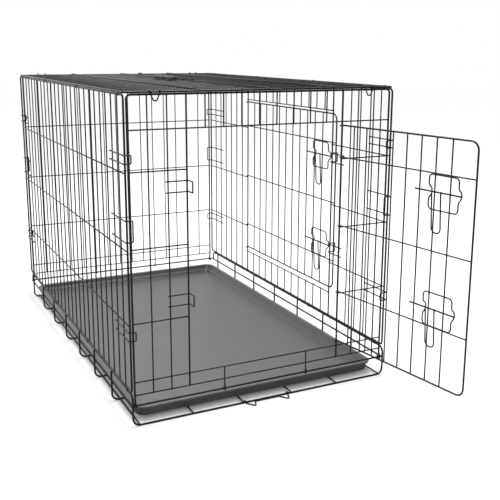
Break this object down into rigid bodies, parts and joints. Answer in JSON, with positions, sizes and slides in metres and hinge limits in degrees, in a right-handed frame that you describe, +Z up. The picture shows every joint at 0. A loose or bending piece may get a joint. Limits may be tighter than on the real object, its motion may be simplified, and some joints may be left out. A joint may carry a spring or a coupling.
{
  "type": "dog cage",
  "caption": "Folding rectangular wire cage with hinged front and side doors, slide bolts, a slide-out floor tray and a carry handle on its top.",
  "frame": {"origin": "underside of the front floor wire, at the middle of the front wall", "axes": "+X to the right seen from the front, +Y from the front wall to the back wall, +Z up"},
  "size_m": [0.7747, 1.6627, 0.8339],
  "materials": {
    "black_wire": "black powder coat, slightly glossy",
    "clip_steel": "thin steel band, black coated",
    "tray_plastic": "dark grey, fine pebble grain",
    "grip_plastic": "black, satin"
  },
  "bodies": {
    "cage": {"base_frame": "black_wire", "left_side_panel": "black_wire", "right_side_panel": "black_wire", "top_panel": "black_wire", "corner_hook_front_left_upper": "black_wire", "corner_hook_front_left_middle": "black_wire", "corner_hook_front_left_lower": "black_wire", "corner_hook_front_right_upper": "black_wire", "corner_hook_front_right_middle": "black_wire", "corner_hook_front_right_lower": "black_wire", "corner_hook_back_left_upper": "black_wire", "corner_hook_back_left_middle": "black_wire", "corner_hook_back_left_lower": "black_wire", "corner_hook_back_right_upper": "black_wire", "corner_hook_back_right_middle": "black_wire", "corner_hook_back_right_lower": "black_wire", "lid_hook_front_left": "black_wire", "lid_hook_front_right": "black_wire", "lid_hook_back_left": "black_wire", "lid_hook_back_right": "black_wire", "side_keeper_upper": "black_wire", "side_keeper_lower": "black_wire", "base_clip_left_1": "clip_steel", "base_clip_left_2": "clip_steel", "base_clip_left_3": "clip_steel", "base_clip_left_4": "clip_steel", "base_clip_right_1": "clip_steel", "base_clip_right_2": "clip_steel", "base_clip_right_3": "clip_steel", "base_clip_right_4": "clip_steel", "lid_clip_left_1": "clip_steel", "lid_clip_left_2": "clip_steel", "lid_clip_left_3": "clip_steel", "lid_clip_left_4": "clip_steel", "lid_clip_right_1": "clip_steel", "lid_clip_right_2": "clip_steel", "lid_clip_right_3": "clip_steel", "lid_clip_right_4": "clip_steel"},
    "front_wall": {"front_panel": "black_wire", "front_keeper_upper": "black_wire", "front_keeper_lower": "black_wire"},
    "back_wall": {"back_panel": "black_wire"},
    "front_door": {"front_door": "black_wire", "front_latch_guide_upper": "black_wire", "front_latch_guide_lower": "black_wire"},
    "side_door": {"side_door": "black_wire", "side_latch_guide_upper": "black_wire", "side_latch_guide_lower": "black_wire"},
    "front_bolt_upper": {"front_latch_rod_upper": "black_wire"},
    "front_bolt_handle_upper": {"front_latch_handle_upper": "black_wire"},
    "front_bolt_lower": {"front_latch_rod_lower": "black_wire"},
    "front_bolt_handle_lower": {"front_latch_handle_lower": "black_wire"},
    "side_bolt_upper": {"side_latch_rod_upper": "black_wire"},
    "side_bolt_handle_upper": {"side_latch_handle_upper": "black_wire"},
    "side_bolt_lower": {"side_latch_rod_lower": "black_wire"},
    "side_bolt_handle_lower": {"side_latch_handle_lower": "black_wire"},
    "pan_stop": {"pan_stop": "black_wire"},
    "tray": {"tray": "tray_plastic"},
    "carry_handle": {"handle_bail": "black_wire", "handle_grip": "grip_plastic"}
  },
  "joints": [
    {"name": "front_fold", "type": "hinge", "parent": "cage", "child": "front_wall", "pos_m": [0, 0.00436, 0.053], "axis": [1, 0, 0], "range_deg": [-24, 0]},
    {"name": "back_fold", "type": "hinge", "parent": "cage", "child": "back_wall", "pos_m": [0, 1.21687, 0.053], "axis": [1, 0, 0], "range_deg": [0, 88]},
    {"name": "front_door_hinge", "type": "hinge", "parent": "front_wall", "child": "front_door", "pos_m": [0.21825, 0.00436, 0.42], "axis": [0, 0, 1], "range_deg": [-98, 70]},
    {"name": "side_door_hinge", "type": "hinge", "parent": "cage", "child": "side_door", "pos_m": [0.37375, 0.87736, 0.45], "axis": [0, 0, 1], "range_deg": [0, 165]},
    {"name": "front_bolt_upper_slide", "type": "slide", "parent": "front_door", "child": "front_bolt_upper", "axis": [0.1392, -0.9903, 0], "range_m": [0, 0.052]},
    {"name": "front_bolt_upper_turn", "type": "hinge", "parent": "front_bolt_upper", "child": "front_bolt_handle_upper", "pos_m": [0.27477, -0.31084, 0.592], "axis": [0.1392, -0.9903, 0], "range_deg": [0, 120]},
    {"name": "front_bolt_lower_slide", "type": "slide", "parent": "front_door", "child": "front_bolt_lower", "axis": [0.1392, -0.9903, 0], "range_m": [0, 0.052]},
    {"name": "front_bolt_lower_turn", "type": "hinge", "parent": "front_bolt_lower", "child": "front_bolt_handle_lower", "pos_m": [0.27477, -0.31084, 0.308], "axis": [0.1392, -0.9903, 0], "range_deg": [0, 120]},
    {"name": "side_bolt_upper_slide", "type": "slide", "parent": "side_door", "child": "side_bolt_upper", "axis": [0, -1, 0], "range_m": [0, 0.052]},
    {"name": "side_bolt_upper_turn", "type": "hinge", "parent": "side_bolt_upper", "child": "side_bolt_handle_upper", "pos_m": [0.38585, 0.40736, 0.592], "axis": [0, -1, 0], "range_deg": [0, 120]},
    {"name": "side_bolt_lower_slide", "type": "slide", "parent": "side_door", "child": "side_bolt_lower", "axis": [0, -1, 0], "range_m": [0, 0.052]},
    {"name": "side_bolt_lower_turn", "type": "hinge", "parent": "side_bolt_lower", "child": "side_bolt_handle_lower", "pos_m": [0.38585, 0.40736, 0.308], "axis": [0, -1, 0], "range_deg": [0, 120]},
    {"name": "pan_stop_turn", "type": "hinge", "parent": "cage", "child": "pan_stop", "pos_m": [0, 0, 0.00216], "axis": [-1, 0, 0], "range_deg": [0, 88]},
    {"name": "tray_slide", "type": "slide", "parent": "cage", "child": "tray", "axis": [0, 1, 0], "range_m": [-1.15, 0]},
    {"name": "carry_handle_turn", "type": "hinge", "parent": "cage", "child": "carry_handle", "pos_m": [0.00135, 0.61062, 0.8212], "axis": [0, 1, 0], "range_deg": [0, 160]}
  ]
}
